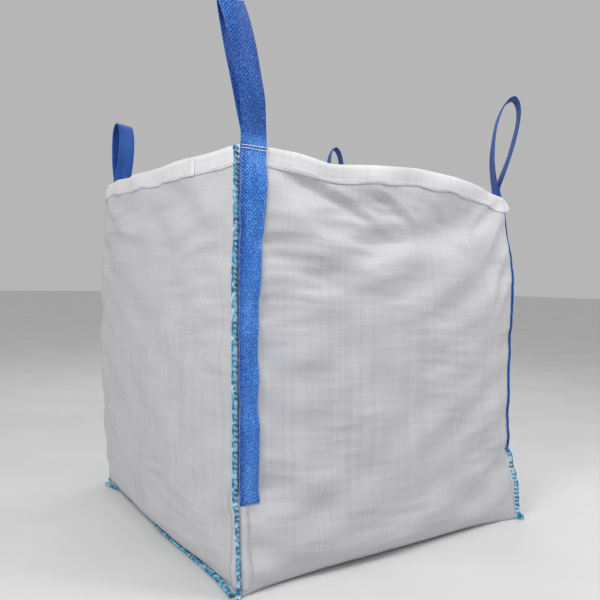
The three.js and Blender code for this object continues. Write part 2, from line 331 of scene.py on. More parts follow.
def polypropylene_webbing():
    material, tree = new_material("polypropylene_webbing_blue")
    cut = node(tree, "ShaderNodeUVMap", uv_map="cut").outputs["UV"]
    parts = node(tree, "ShaderNodeSeparateXYZ", {"Vector": cut}).outputs
    column = {0: parts["X"], 1: HERRINGBONE_COLUMN}
    zigzag = node(tree, "ShaderNodeMath", column, operation="PINGPONG").outputs[0]
    climb = node(tree, "ShaderNodeMath", {0: zigzag, 1: 1.3, 2: parts["Y"]}, operation="MULTIPLY_ADD")
    turns = {0: climb.outputs[0], 1: 2 * math.pi / TWILL_PITCH}
    line = node(tree, "ShaderNodeMath", turns, operation="MULTIPLY").outputs[0]
    twill = node(tree, "ShaderNodeMath", {0: line}, operation="SINE").outputs[0]
    fleck = streaks(tree, cut, 1 / (2.5 * MM), 1 / (9 * MM), 1.7)
    drift = streaks(tree, cut, 1 / (25 * MM), 1 / (120 * MM), 6.1)
    yarn = node(tree, "ShaderNodeMix", {"Factor": 0.3, "A": fleck, "B": drift}).outputs["Result"]
    tone = node(tree, "ShaderNodeMath", {0: twill, 1: 0.13, 2: yarn}, operation="MULTIPLY_ADD").outputs[0]
    stops = [(0.28, "0c3f96"), (0.44, "1b64c4"), (0.56, "2a80dc"), (0.74, "84bcfa")]
    unshaded_blue = node(tree, "ShaderNodeValToRGB", {"Fac": tone}, stops).outputs["Color"]
    # Painted shade: a darker copy of the ramp for the loops and the folded-over strap edges.
    stops = [(0.28, "04245f"), (0.44, "0b3d90"), (0.56, "1557b4"), (0.74, "4a92e0")]
    painted_shade = node(tree, "ShaderNodeValToRGB", {"Fac": tone}, stops).outputs["Color"]
    shade_share = node(tree, "ShaderNodeAttribute", attribute_name="painted_shade").outputs["Fac"]
    shade_mix = {"Factor": shade_share, 6: unshaded_blue, 7: painted_shade}
    colour = node(tree, "ShaderNodeMix", shade_mix, data_type="RGBA").outputs[2]
    bump = node(tree, "ShaderNodeBump", {"Height": tone, "Strength": 0.6, "Distance": 0.9 * MM})
    finish_material(
        tree, Base_Color=colour, Roughness=0.6, IOR=1.49, Normal=bump.outputs["Normal"],
        Sheen_Weight=0.06, Sheen_Roughness=0.4,
    )
    return material


WEBBING_CLOTH = polypropylene_webbing()

# %% [markdown]
# ## Sewing threads
#
# The seams are overlocked with thick turquoise multifilament thread, whose plies catch the light.
# The straps' edges are sewn with pale blue thread, and the hems and the tacks with plain white.


# %% Sewing threads
def sewing_thread(name, stops, ply):
    material, tree = new_material(name)
    where = node(tree, "ShaderNodeTexCoord").outputs["Object"]
    patch = node(tree, "ShaderNodeTexNoise", {"Vector": where, "Scale": 90.0, "Detail": 1.0})
    colour = node(tree, "ShaderNodeValToRGB", {"Fac": patch.outputs["Fac"]}, stops).outputs["Color"]
    twist = node(tree, "ShaderNodeTexNoise", {"Vector": where, "Scale": 1 / ply, "Detail": 1.0})
    relief = {"Height": twist.outputs["Fac"], "Strength": 0.5, "Distance": 0.3 * MM}
    bump = node(tree, "ShaderNodeBump", relief)
    finish_material(
        tree, Base_Color=colour, Roughness=0.5, IOR=1.5, Normal=bump.outputs["Normal"],
        Sheen_Weight=0.3, Sheen_Roughness=0.4,
    )
    return material


TURQUOISE = [(0.36, "12668c"), (0.48, "2b9cc9"), (0.58, "5fbde4"), (0.66, "c8ebf6")]
OVERLOCK_THREAD = sewing_thread("overlock_thread_turquoise", TURQUOISE, 1.5 * MM)
PALE_BLUE = [(0.35, "5f97d6"), (0.65, "a9cbee")]
STRAP_THREAD = sewing_thread("strap_thread_pale_blue", PALE_BLUE, 1 * MM)
WHITE = [(0.35, "e0e0e4"), (0.65, "fcfcfc")]
HEM_THREAD = sewing_thread("lockstitch_thread_white", WHITE, 1 * MM)

# %% [markdown]
# ## The filled bag's cloth
#
# A filled panel is a flat cloth that is held along its two corner seams and its foot, and pushed
# outwards by the goods. Its fullness and soft folds could be modelled by hand, but they come out
# truer from a short cloth simulation: each face starts flat, its cloth is a little larger than
# its frame, and an even pressure pushes it out while its seams stay put.

# %% Cloth simulation of the four faces
COLUMNS = 56
ROWS = 60
EASE = 0.0045             # how much larger the cloth is than its frame
PRESSURE = 0.8
SIMULATED_FRAMES = 26
SWELL_CAP = 46 * MM
START_SWELL = 14 * MM
FOOT_BOW = {"front": 16 * MM, "rear": 16 * MM, "left": 30 * MM, "right": 18 * MM}


def start_points(face):
    """The unloaded face, row by row from foot to rim, as an array [row, column, xyz]."""
    along, out = FACES[face]["along"], FACES[face]["out"]
    across = np.linspace(-HALF, HALF, COLUMNS + 1)
    level = np.linspace(0, 1, ROWS + 1)[:, None]
    height = level * rim_height(face, across)[None, :]
    swell = START_SWELL * (1 - (across / HALF) ** 2)[None, :] * np.sin(np.pi * level ** 0.8)
    reach = HALF + swell
    points = np.zeros((ROWS + 1, COLUMNS + 1, 3))
    points[..., 0] = along.x * across[None, :] + out.x * reach
    points[..., 1] = along.y * across[None, :] + out.y * reach
    points[..., 2] = height
    share = (across[None, :] / HALF + 1) / 2
    for corner, part in zip(FACES[face]["ends"], (1 - share, share)):
        top, foot = np.array(SEAM_LEAN[corner]) * MM
        lean = level[..., None] * top + (1 - level[..., None]) * foot
        bow = soft_curve(level[:, 0], np.linspace(0, 1, 5), SEAM_BOW[corner])[:, None] * MM
        corner_out = np.array(STAND[corner]) / math.sqrt(2)
        points[..., :2] += part[..., None] * (lean + bow[..., None] * corner_out)
    bow = FOOT_BOW[face] * (1 - (across / HALF) ** 2)[None, :] * (1 - level) ** 3
    points[..., :2] += bow[..., None] * np.array(out)[:2]
    return points


def grid_quads(rows, columns, offset=0):
    first = np.arange(rows)[:, None] * (columns + 1) + np.arange(columns)[None, :] + offset
    quads = np.stack([first, first + 1, first + columns + 2, first + columns + 1], axis=-1)
    return quads.reshape(-1, 4)


def link_mesh(name, points, polygons):
    mesh = bpy.data.meshes.new(name)
    mesh.from_pydata(np.asarray(points).reshape(-1, 3).tolist(), [], [list(map(int, p)) for p in polygons])
    made = bpy.data.objects.new(name, mesh)
    SCENE.collection.objects.link(made)
    return made


def simulate_faces():
    starts = {face: start_points(face) for face in FACES}
    per_face = (ROWS + 1) * (COLUMNS + 1)
    quads = []
    for number, face in enumerate(FACES):
        own = grid_quads(ROWS, COLUMNS, number * per_face)
        inward = face in ("rear", "left")
        quads.append(own[:, ::-1] if inward else own)
    points = np.concatenate([face_points.reshape(-1, 3) for face_points in starts.values()])
    cloth = link_mesh("cloth_trial", points, np.concatenate(quads))
    held = cloth.vertex_groups.new(name="held")
    edge = np.zeros((ROWS + 1, COLUMNS + 1), bool)
    edge[0, :] = True
    edge[:, 0] = True
    edge[:, -1] = True
    index = np.nonzero(np.tile(edge.reshape(-1), len(FACES)))[0]
    held.add([int(i) for i in index], 1.0, "REPLACE")
    modifier = cloth.modifiers.new("cloth", "CLOTH")
    settings = modifier.settings
    settings.quality = 6
    settings.mass = 0.2
    settings.tension_stiffness = 40
    settings.compression_stiffness = 25
    settings.shear_stiffness = 10
    settings.bending_stiffness = 2.0
    settings.vertex_group_mass = "held"
    settings.shrink_min = -EASE
    settings.use_pressure = True
    settings.uniform_pressure_force = PRESSURE
    settings.effector_weights.gravity = 0.4
    modifier.collision_settings.use_collision = False
    modifier.point_cache.frame_end = SIMULATED_FRAMES
    for number in range(1, SIMULATED_FRAMES + 1):
        SCENE.frame_set(number)
    evaluated = cloth.evaluated_get(bpy.context.evaluated_depsgraph_get())
    flat = np.empty(len(evaluated.data.vertices) * 3)
    evaluated.data.vertices.foreach_get("co", flat)
    SCENE.frame_set(1)
    bpy.data.objects.remove(cloth)
    result = {}
    for number, face in enumerate(FACES):
        part = flat.reshape(-1, 3)[number * per_face:(number + 1) * per_face]
        result[face] = part.reshape(ROWS + 1, COLUMNS + 1, 3)
    return starts, result


def capped(face, start, moved):
    """The simulated face, with its swelling held under the cap."""
    out = np.array(FACES[face]["out"])
    swell = moved @ out - HALF
    limited = SWELL_CAP * np.tanh(swell / SWELL_CAP)
    level = np.linspace(0, 1, ROWS + 1)[:, None]
    result = moved + (limited - swell)[..., None] * out
    result[..., 2] += (start[-1, :, 2] - moved[-1, :, 2])[None, :] * level ** 2
    return result


STARTS, MOVED = simulate_faces()
CLOTH = {face: capped(face, STARTS[face], MOVED[face]) for face in FACES}
for face in FACES:
    reach = MOVED[face] @ np.array(FACES[face]["out"]) - HALF
    most, least = (round(float(value) * 1000, 1) for value in (reach.max(), reach.min()))
    print("face", face, "swell mm", most, "least", least)

# %% [markdown]
# ## Creases and ripples
#
# The simulated faces are even. The real cloth also has a few sharp tension creases that start
# where a strap pulls on the rim, and bands of shallow level ripples where it is slack. A crease
# is a ridge with a shallow groove along its lower side, laid on the face between two points. The
# ripples are a sum of a few waves with fixed random directions, so every run gives the same bag.

# %% Creases and ripples
CORNER_ROUND = 13 * MM
CORNER_ROUND_LEAST = 7 * MM
FOOT_ROUND = 75 * MM
EDGE_CALM = 40 * MM        # the creases fade out this close to a seam
FOOT_CALM = 60 * MM        # and this close to the foot
RIPPLE = 0.9 * MM
SWELL = 2.6 * MM
VALLEY = 30 * MM           # beside the near strap, which is stiffer than the cloth and pulls it in
VALLEY_PLACE = 64 * MM
ALL_CREASES = {
    # start and end as (share of the width, share of the height), ridge height and half width in mm
    "front": [
        ((0.13, 0.965), (0.47, 0.825), 10, 11), ((0.39, 0.945), (0.575, 0.85), 8, 10),
        ((0.05, 0.815), (0.30, 0.80), 4.5, 10), ((0.05, 0.775), (0.28, 0.755), 4.5, 9),
        ((0.04, 0.742), (0.27, 0.728), 4, 9), ((0.05, 0.712), (0.25, 0.697), 4, 9),
        ((0.05, 0.675), (0.22, 0.668), 3, 9), ((0.05, 0.86), (0.20, 0.84), 3, 11),
        ((0.99, 0.92), (0.82, 0.73), 9, 13), ((0.99, 0.83), (0.85, 0.62), 7, 13),
        ((0.97, 0.965), (0.78, 0.85), 7, 12), ((0.99, 0.74), (0.87, 0.56), 5, 13),
        ((0.60, 0.93), (0.72, 0.87), 4, 12), ((0.68, 0.84), (0.80, 0.78), 4, 14),
        ((0.30, 0.80), (0.47, 0.74), 4, 13), ((0.98, 0.60), (0.88, 0.46), 3, 13),
        ((0.12, 0.52), (0.34, 0.50), 2, 14), ((0.06, 0.30), (0.20, 0.28), 2.5, 10),
        ((0.06, 0.26), (0.22, 0.235), 2.5, 10), ((0.07, 0.21), (0.20, 0.20), 2, 9),
    ],
    "left": [
        ((0.95, 0.845), (0.50, 0.81), 6, 17), ((0.08, 0.97), (0.25, 0.87), 5, 13),
        ((0.94, 0.94), (0.76, 0.86), 4, 14), ((0.06, 0.86), (0.36, 0.77), 5, 15),
        ((0.05, 0.80), (0.28, 0.74), 4, 12), ((0.05, 0.70), (0.25, 0.66), 3.5, 12),
        ((0.05, 0.62), (0.20, 0.60), 3, 11), ((0.92, 0.20), (0.74, 0.12), 3, 16),
        ((0.90, 0.74), (0.66, 0.72), 3, 16),
    ],
    "rear": [
        ((0.10, 0.98), (0.30, 0.87), 8, 12), ((0.93, 0.97), (0.76, 0.84), 7, 13),
        ((0.35, 0.95), (0.52, 0.90), 5, 12), ((0.08, 0.75), (0.28, 0.72), 4, 12),
    ],
    "right": [
        ((0.12, 0.97), (0.33, 0.85), 8, 12), ((0.88, 0.97), (0.66, 0.86), 8, 12),
        ((0.40, 0.90), (0.60, 0.88), 4, 14), ((0.12, 0.70), (0.30, 0.66), 4, 13),
    ],
}


def smoothstep(low, high, value):
    share = np.clip((value - low) / (high - low), 0, 1)
    return share * share * (3 - 2 * share)


def refined(grid):
    """Twice the grid's fineness, through a smooth curve along the first axis."""
    padded = np.concatenate([2 * grid[:1] - grid[1:2], grid, 2 * grid[-1:] - grid[-2:-1]])
    middle = (-padded[:-3] + 9 * padded[1:-2] + 9 * padded[2:-1] - padded[3:]) / 16
    finer = np.empty((2 * len(grid) - 1, *grid.shape[1:]))
    finer[0::2] = grid
    finer[1::2] = middle
    return finer


def smooth_noise(across, height, seed, across_wave, height_wave, count=26):
    """A smooth random field of size about 1 with waves between the given lengths, in metres."""
    random = np.random.default_rng(seed)
    field = np.zeros_like(across + height)
    for _ in range(count):
        kx = 2 * np.pi / random.uniform(*across_wave) * random.choice([-1, 1])
        kz = 2 * np.pi / random.uniform(*height_wave)
        field += np.sin(kx * across + kz * height + random.uniform(0, 2 * np.pi))
    return field / math.sqrt(count / 2)


def crease_field(across, height, face):
    field = np.zeros_like(across + height)
    for start, end, size, width in ALL_CREASES[face]:
        a = np.array([(start[0] * 2 - 1) * HALF, start[1] * RIM_CORNER[FACES[face]["ends"][0]]])
        b = np.array([(end[0] * 2 - 1) * HALF, end[1] * RIM_CORNER[FACES[face]["ends"][0]]])
        way = b - a
        length = np.linalg.norm(way)
        way /= length
        side = np.array([-way[1], way[0]]) * (1 if way[0] > 0 else -1)
        t = ((across - a[0]) * way[0] + (height - a[1]) * way[1]) / length
        bend = 0.05 * length * np.sin(np.pi * np.clip(t, 0, 1))
        d = (across - a[0]) * side[0] + (height - a[1]) * side[1] - bend
        taper = np.clip(1.3 * np.sin(np.pi * np.clip(t * 0.9 + 0.1, 0, 1)), 0, 1) ** 1.3
        w = width * MM
        crest = np.where(d > 0, np.exp(-np.abs(d) / (1.9 * w)), np.exp(-np.abs(d) / (0.75 * w)))
        ridge = crest - 0.45 * np.exp(-((d + 1.8 * w) / (1.1 * w)) ** 2)
        field += size * MM * ridge * taper
    return field


def finished_face(face, number):
    grid = refined(refined(CLOTH[face]).swapaxes(0, 1)).swapaxes(0, 1)
    rows, columns = grid.shape[:2]
    across = np.linspace(-HALF, HALF, columns)[None, :]
    level = np.linspace(0, 1, rows)[:, None]
    height = level * rim_height(face, across)
    slack = 0.5 + 0.5 * np.tanh(smooth_noise(across, height, 40 + number, (0.35, 0.9), (0.3, 0.8), 8))
    ripple = smooth_noise(across, height, 60 + number, (0.12, 0.5), (0.022, 0.06)) * RIPPLE * slack
    swell = smooth_noise(across, height, 80 + number, (0.14, 0.4), (0.10, 0.35)) * SWELL
    edge = np.clip((HALF - np.abs(across)) / EDGE_CALM, 0, 1) ** 0.7 * np.clip(height / FOOT_CALM, 0, 1)
    move = (ripple + swell + crease_field(across, height, face)) * edge
    corner = CORNER_ROUND_LEAST + CORNER_ROUND * np.sin(np.pi * np.clip(level, 0, 1)) ** 0.7
    inset = np.clip(corner - (HALF - np.abs(across)), 0, None) ** 2 / (2 * corner)
    foot = np.clip(FOOT_ROUND - height, 0, None) ** 2 / (2 * FOOT_ROUND)
    move = move + corner / 2 - inset - foot * (1 - np.abs(across / HALF) ** 4)
    if face == "front":
        near = across + HALF
        past = np.clip(near / VALLEY_PLACE - 1, 0, None)
        beside = np.clip(near / VALLEY_PLACE, 0, 1) * np.exp(-1.2 * past ** 2)
        move = move - VALLEY * beside * smoothstep(0.10, 0.25, level) * (1 - smoothstep(0.62, 0.92, level))
    aside = corner / 2 * across / HALF - inset * np.sign(across)
    pulled = grid + move[..., None] * np.array(FACES[face]["out"])
    return pulled + aside[..., None] * np.array(FACES[face]["along"])


FINE = {face: finished_face(face, number) for number, face in enumerate(FACES)}


def grid_normals(grid):
    """Unit normals of a surface given as points [row, column, xyz]."""
    normals = np.cross(np.gradient(grid, axis=1), np.gradient(grid, axis=0))
    return normals / np.linalg.norm(normals, axis=-1, keepdims=True)


def face_normals(face):
    normals = grid_normals(FINE[face])
    return normals * np.sign((normals @ np.array(FACES[face]["out"])).mean())


NORMALS = {face: face_normals(face) for face in FACES}


def on_face(face, across, height, lift=0.0):
    """Points on the finished cloth; past its edges the point goes straight on."""
    grid, normals = FINE[face], NORMALS[face]
    rows, columns = grid.shape[0] - 1, grid.shape[1] - 1
    across, height, lift = np.broadcast_arrays(*(np.asarray(x, float) for x in (across, height, lift)))
    inside = np.clip(across, -HALF, HALF)
    rim = rim_height(face, inside)
    u = (inside + HALF) / (2 * HALF) * columns
    v = np.clip(height / rim, 0, 1) * rows
    i = np.clip(u.astype(int), 0, columns - 1)
    j = np.clip(v.astype(int), 0, rows - 1)
    fu, fv = (u - i)[..., None], (v - j)[..., None]

    def mixed(values):
        low = values[j, i] * (1 - fu) + values[j, i + 1] * fu
        high = values[j + 1, i] * (1 - fu) + values[j + 1, i + 1] * fu
        return low * (1 - fv) + high * fv

    direction = mixed(normals)
    direction /= np.linalg.norm(direction, axis=-1, keepdims=True)
    point = mixed(grid) + direction * lift[..., None]
    point += np.array(FACES[face]["along"]) * (across - inside)[..., None]
    point[..., 2] += np.maximum(height - rim, 0)
    return point


print("fine faces", {face: FINE[face].shape[:2] for face in FACES})

# %% [markdown]
# ## The three panels
#
# One long cloth makes the front, the base and the rear, so it has no seam at the front's foot: it
# just folds. Two side cloths close the box. Each is a single skin with a Solidify modifier for
# its thickness, and a UV map that lays the cloth flat again, in metres.

# %% The three panels
CLOTH_THICKNESS = 0.9 * MM


def add_cut_map(made, flat_points):
    """A UV map in metres from one (x, y) for each vertex."""
    layer = made.data.uv_layers.new(name="cut")
    corner = np.empty(len(made.data.loops), int)
    made.data.loops.foreach_get("vertex_index", corner)
    layer.data.foreach_set("uv", np.asarray(flat_points, float).reshape(-1, 2)[corner].ravel())


def smooth(made):
    made.data.polygons.foreach_set("use_smooth", [True] * len(made.data.polygons))


def settled(made):
    """The same object with its modifiers turned into plain mesh."""
    graph = bpy.context.evaluated_depsgraph_get()
    evaluated = made.evaluated_get(graph)
    mesh = bpy.data.meshes.new_from_object(evaluated, preserve_all_data_layers=True, depsgraph=graph)
    made.modifiers.clear()
    old = made.data
    made.data = mesh
    bpy.data.meshes.remove(old)
    return made


def cloth_piece(name, points, quads, flat_points, material):
    made = link_mesh(name, points, quads)
    add_cut_map(made, flat_points)
    made.data.materials.append(material)
    thick = made.modifiers.new("thickness", "SOLIDIFY")
    thick.thickness = CLOTH_THICKNESS
    thick.offset = -1
    settled(made)
    smooth(made)
    return made


def body_panel():
    front, rear = FINE["front"][::-1], FINE["rear"]
    columns = front.shape[1]
    base_rows = 18
    share = np.linspace(0, 1, base_rows + 1)[1:-1, None, None]
    base = front[-1][None] * (1 - share) + rear[0][None] * share
    place = np.linspace(0, 1, base_rows + 1)[1:-1] * (columns - 1)
    over = np.linspace(0, 1, columns)[None, :, None]
    for face, part, end in (("left", 1 - over, 0), ("right", over, -1)):
        foot = FINE[face][0]
        line = np.stack([np.interp(place, np.arange(columns), foot[:, k]) for k in range(3)], axis=-1)
        base += part * (line - base[:, end])[:, None, :]
    base[..., 2] = 0
    rows = np.concatenate([front, base, rear])
    step = np.linalg.norm(np.diff(rows, axis=0), axis=-1).mean(axis=1)
    down = np.concatenate([[0], np.cumsum(step)])
    across = np.linspace(-HALF, HALF, columns)[None, :]
    flat_points = np.stack(np.broadcast_arrays(across, -down[:, None]), axis=-1)
    quads = grid_quads(len(rows) - 1, columns - 1)[:, ::-1]
    return cloth_piece("body_panel_cloth", rows, quads, flat_points, PANEL_CLOTH), down[-1]


def side_panel(face):
    rows = FINE[face]
    columns = rows.shape[1]
    flat_points = np.stack(np.broadcast_arrays(
        np.linspace(-HALF, HALF, columns)[None, :] + (4 if face == "left" else 7),
        np.linspace(0, 0.96, len(rows))[:, None],
    ), axis=-1)
    quads = grid_quads(len(rows) - 1, columns - 1)
    if face == "left":
        quads = quads[:, ::-1]
    return cloth_piece(f"side_panel_{face}_cloth", rows, quads, flat_points, PANEL_CLOTH)


def ride_bag(made, node_name):
    """Parents a piece to the bag's body and hides the CAD node that it stands for."""
    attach(made, "bag")
    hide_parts(node_name)


BODY_CLOTH, body_length = body_panel()
ride_bag(BODY_CLOTH, "body_panel_front_base_rear")
SIDE_CLOTHS = {face: side_panel(face) for face in ("left", "right")}
for face, made in SIDE_CLOTHS.items():
    ride_bag(made, "side_panel_" + face)
print("body cloth length", round(float(body_length), 3), "m")

# %% [markdown]
# ## Sweeps
#
# Hems, seam allowances and straps are all one thing to a modeller: a closed outline that travels
# along a line and changes a little on the way. One function skins such a row of outlines, closes
# both ends and gives the result its flat UV map.


# %% Sweeps
def swept(name, outlines, material, flat_points=None):
    """A closed solid from outlines[station, point, xyz], all with the same number of points."""
    stations, count = outlines.shape[:2]
    index = np.arange(stations * count).reshape(stations, count)
    following = np.roll(index, -1, axis=1)
    sides = np.stack([index[:-1], following[:-1], following[1:], index[1:]], axis=-1).reshape(-1, 4)
    polygons = [list(map(int, quad)) for quad in sides]
    polygons.append([int(i) for i in index[0][::-1]])
    polygons.append([int(i) for i in index[-1]])
    made = link_mesh(name, outlines, polygons)
    if flat_points is None:
        around = np.linalg.norm(np.diff(outlines, axis=1, append=outlines[:, :1]), axis=-1).mean(axis=0)
        along = np.linalg.norm(np.diff(outlines.mean(axis=1), axis=0), axis=-1)
        across_flat = np.concatenate([[0], np.cumsum(around)[:-1]])
        along_flat = np.concatenate([[0], np.cumsum(along)])
        flat_points = np.stack(np.broadcast_arrays(across_flat[None, :], along_flat[:, None]), axis=-1)
    add_cut_map(made, flat_points)
    made.data.materials.append(material)
    first, second, third = (outlines.reshape(-1, 3)[sides[:, k]] for k in range(3))
    if np.einsum("ij,ij->i", first, np.cross(second, third)).sum() < 0:
        made.data.flip_normals()
    smooth(made)
    return made


# %% [markdown]
# ## Rim hems
#
# The rim of each panel is folded outwards and sewn down. The fold is a soft roll at the top, and
# the free edge below the stitching curls a little, because the cloth is stiff and the thread pulls
# it in. The outline has points all the way down its back as well as its front, so that both follow
# the creases of the cloth below. At the front right corner the hem of the long panel runs past the
# seam as a pinched tab.

# %% Rim hems
HEM_PROFILE = [            # lift from the cloth and depth below the rim, in mm
    (0.1, 38), (1.2, 38.3), (1.1, 33.5), (1.6, 29), (2.0, 20), (2.1, 9), (2.1, 1.5),
    (1.2, -1.0), (-0.8, -1.2), (-2.0, 0.6), (-2.1, 6), (-1.2, 6), (-1.1, 0.8), (0.1, 0.6),
    (0.1, 9), (0.1, 20), (0.1, 29), (0.1, 33.5),
]
HEM_STATIONS = 170
TAB = 27 * MM
LAP_PLACE = -265 * MM
LAP_DEPTH = 43 * MM
LAP_PROFILE = [(-13, 2.9), (-12, 3.7), (0, 4.0), (12, 3.7), (13, 2.9), (0, 3.0)]   # across and lift, mm
STITCH_ROW_DEPTH = 36.5 * MM


def hem_depth(across, seed):
    wave = smooth_noise(across, np.zeros_like(across), seed, (0.05, 0.22), (0.5, 1.0), 12)
    return 1.14 + 0.03 * wave


def hem_ends(face):
    if face == "front":
        return -HALF - 2 * MM, HALF + TAB
    if face == "rear":
        return -HALF - 2 * MM, HALF + 2 * MM
    return -HALF + 1 * MM, HALF - 1 * MM


def hem_outlines(face, seed):
    across = np.linspace(*hem_ends(face), HEM_STATIONS)
    scale = hem_depth(across, seed)
    curl = smooth_noise(across, np.zeros_like(across), seed + 7, (0.04, 0.15), (0.5, 1.0), 10)
    inside = np.clip(across, -HALF, HALF)
    rim = rim_height(face, inside)
    points = []
    for number, (lift, drop) in enumerate(HEM_PROFILE):
        depth = drop * MM * (scale if drop > 8 else 1)
        free_edge = (0.1 + 0.4 * curl) * MM if number in (0, 1) else 0
        height = rim - np.maximum(depth, 0)
        points.append(on_face(face, across, height, lift * MM + np.maximum(free_edge, 0)))
        if drop < 0:
            points[-1][:, 2] -= drop * MM
    return np.stack(points, axis=1)


HEMS = {}
for number, face in enumerate(FACES):
    outlines = hem_outlines(face, 200 + 11 * number)
    if face == "front":
        past = np.clip((np.linspace(*hem_ends(face), HEM_STATIONS) - HALF) / TAB, 0, 1)
        middle = outlines.mean(axis=1, keepdims=True)
        pinch = 1 - 0.8 * past[:, None, None] ** 1.6
        squeeze = np.concatenate([np.ones_like(pinch), np.ones_like(pinch), pinch], axis=-1)
        outlines = middle + (outlines - middle) * squeeze
        outlines[..., 2] -= 6 * MM * past[:, None]
    HEMS[face] = swept(f"rim_hem_{face}_cloth", outlines, PAINTED_LIGHT_CLOTH)
    ride_bag(HEMS[face], "rim_hem_" + face)


def hem_lap():
    """The short lap where the two ends of the left hem meet."""
    depth = np.linspace(1 * MM, LAP_DEPTH, 14)
    points = []
    for reach, lift in LAP_PROFILE:
        across = np.full_like(depth, LAP_PLACE + reach * MM)
        points.append(on_face("left", across, rim_height("left", across) - depth, lift * MM))
    return swept("rim_hem_left_lap", np.stack(points, axis=1), PAINTED_LIGHT_CLOTH)


ride_bag(hem_lap(), "rim_hem_left")
print("hems", sorted(HEMS))

# %% [markdown]
# ## Seam allowances
#
# Two cloths that are sewn together leave a double edge outside the seam. Along the upright
# corners it stands off the bag like a fin, and leans one way or the other. At the foot of both
# sides it lies nearly level, just above the ground. At the near corner the rest of the allowance
# lies flat on the two faces beside the fin.

# %% Seam allowances
ALLOWANCE = 2.4 * MM
# width in mm and lean towards the strap's face in degrees, below and above the strap's cut end
FIN_SHAPE = {
    "front_left": ((10, -14), (10, -42)),
    "front_right": ((15, 8), (6, 38)),
    "rear_left": ((16, 50), (12, 55)),
    "rear_right": ((16, 42), (8, 40)),
}
WRAP = {"front_left": 5 * MM, "front_right": 25 * MM, "rear_left": 0, "rear_right": 7 * MM}
HIDDEN_SEAMS = ("front_right", "rear_right")   # above the strap's end these lie under the strap
STRAP_FACE = {"front_left": "front", "rear_left": "rear", "front_right": "right", "rear_right": "right"}
STRAP_END = 200 * MM
FOOT_SEAM_REACH = 438 * MM
# across as a share of the width, and lift in mm, of the flat parts at the near corner
FLAP_PROFILE = [(0.05, 0.2), (0.5, 0.3), (1, 0.3), (1, 1.6), (0.5, 2.4), (0.05, 3.0)]
FLAP_WIDTH = 28 * MM


def corner_side(corner):
    face = STRAP_FACE[corner]
    return face, (-1 if FACES[face]["ends"][0] == corner else 1)


def wrap_at(corner, height):
    """How far the strap has slipped round its corner at a height; it is sewn straight at the rim."""
    return WRAP[corner] * (1 - smoothstep(0.66, 0.88, height))


def round_corner(corner, across, height, lift):
    """Points on the strap's face that carry on round the corner onto the next face."""
    face, side = corner_side(corner)
    other = next(name for name in FACES if name != face and corner in FACES[name]["ends"])
    other_side = -1 if FACES[other]["ends"][0] == corner else 1
    past = np.asarray(across) * side - HALF
    here = on_face(face, np.where(past > 0, side * HALF, across), height, lift)
    there = on_face(other, other_side * (HALF - np.clip(past, 0, None)), height, lift)
    return np.where((past > 0)[..., None], there, here)


def fin_line(corner, seed):
    """Root points, outward directions and widths of one upright fin, from foot to rim."""
    face, side = corner_side(corner)
    top = STRAP_END + 12 * MM if corner in HIDDEN_SEAMS else RIM_CORNER[corner] - 5 * MM
    height = np.linspace(5 * MM, top, int(top / (6.5 * MM)))
    slip = wrap_at(corner, height) * smoothstep(20 * MM, STRAP_END + 10 * MM, height) * 0.9
    root = round_corner(corner, side * (HALF + slip), height, np.zeros_like(height))
    out = np.array(FACES[face]["out"])
    past = np.array(FACES[face]["along"]) * side
    diagonal, towards = (out + past) / math.sqrt(2), (out - past) / math.sqrt(2)
    (low_width, low_lean), (high_width, high_lean) = FIN_SHAPE[corner]
    mix = smoothstep(STRAP_END - 16 * MM, STRAP_END + 16 * MM, height)
    wave = smooth_noise(height, np.zeros_like(height), seed, (0.05, 0.3), (0.5, 1.0), 10)
    lean = np.radians(low_lean + (high_lean - low_lean) * mix + 2.5 * wave)
    width = (low_width + (high_width - low_width) * mix + 0.4 * wave) * MM
    aim = np.cos(lean)[:, None] * diagonal + np.sin(lean)[:, None] * towards
    return root, aim, width


def fin_outlines(root, aim, width):
    side = np.cross(np.gradient(root, axis=0), aim)
    side /= np.linalg.norm(side, axis=-1, keepdims=True)
    t = ALLOWANCE / 2
    shape = [(-3, -1), (0.45, -1.1), (0.93, -1), (1, -0.5), (1, 0.5), (0.93, 1), (0.45, 1.1), (-3, 1)]
    points = []
    for reach, thick in shape:
        distance = reach * MM if reach < 0 else reach * width
        points.append(root + aim * np.broadcast_to(distance, len(root))[:, None] + side * (thick * t))
    return np.stack(points, axis=1)


def add_fin(place, node_name, line):
    """Builds one fin and gives back its edge, with the way it points, for the overlock to follow."""
    root, aim, width = line
    fin = swept("seam_allowance_" + place, fin_outlines(root, aim, width), PAINTED_LIGHT_CLOTH)
    ride_bag(fin, node_name)
    return root + aim * width[:, None], aim


def bottom_line(face, seed):
    along = np.linspace(-FOOT_SEAM_REACH, FOOT_SEAM_REACH, 150)
    foot = on_face(face, along, np.full_like(along, 2 * MM))
    out = np.array(FACES[face]["out"])
    wave = smooth_noise(along, np.zeros_like(along), seed, (0.06, 0.4), (0.5, 1.0), 10)
    tucked = smoothstep(-0.05, 0.12, along) * (1 - smoothstep(0.33, 0.42, along))
    width = (20 - 13 * tucked * (face == "left") + 0.8 * wave) * MM
    foot[:, 2] = (5.0 + 0.5 * wave) * MM
    aim = out + np.array([0, 0, 1]) * (0.03 + 0.07 * np.abs(wave))[:, None]
    return foot, aim / np.linalg.norm(aim, axis=-1, keepdims=True), width


SEAM_LINES = {}
for number, corner in enumerate(CORNERS):
    line = fin_line(corner, 300 + number)
    SEAM_LINES[corner] = add_fin(corner, "corner_seam_allowance_" + corner, line)
for number, face in enumerate(("left", "right")):
    line = bottom_line(face, 320 + number)
    SEAM_LINES["bottom_" + face] = add_fin("bottom_" + face, "bottom_seam_allowance_" + face, line)


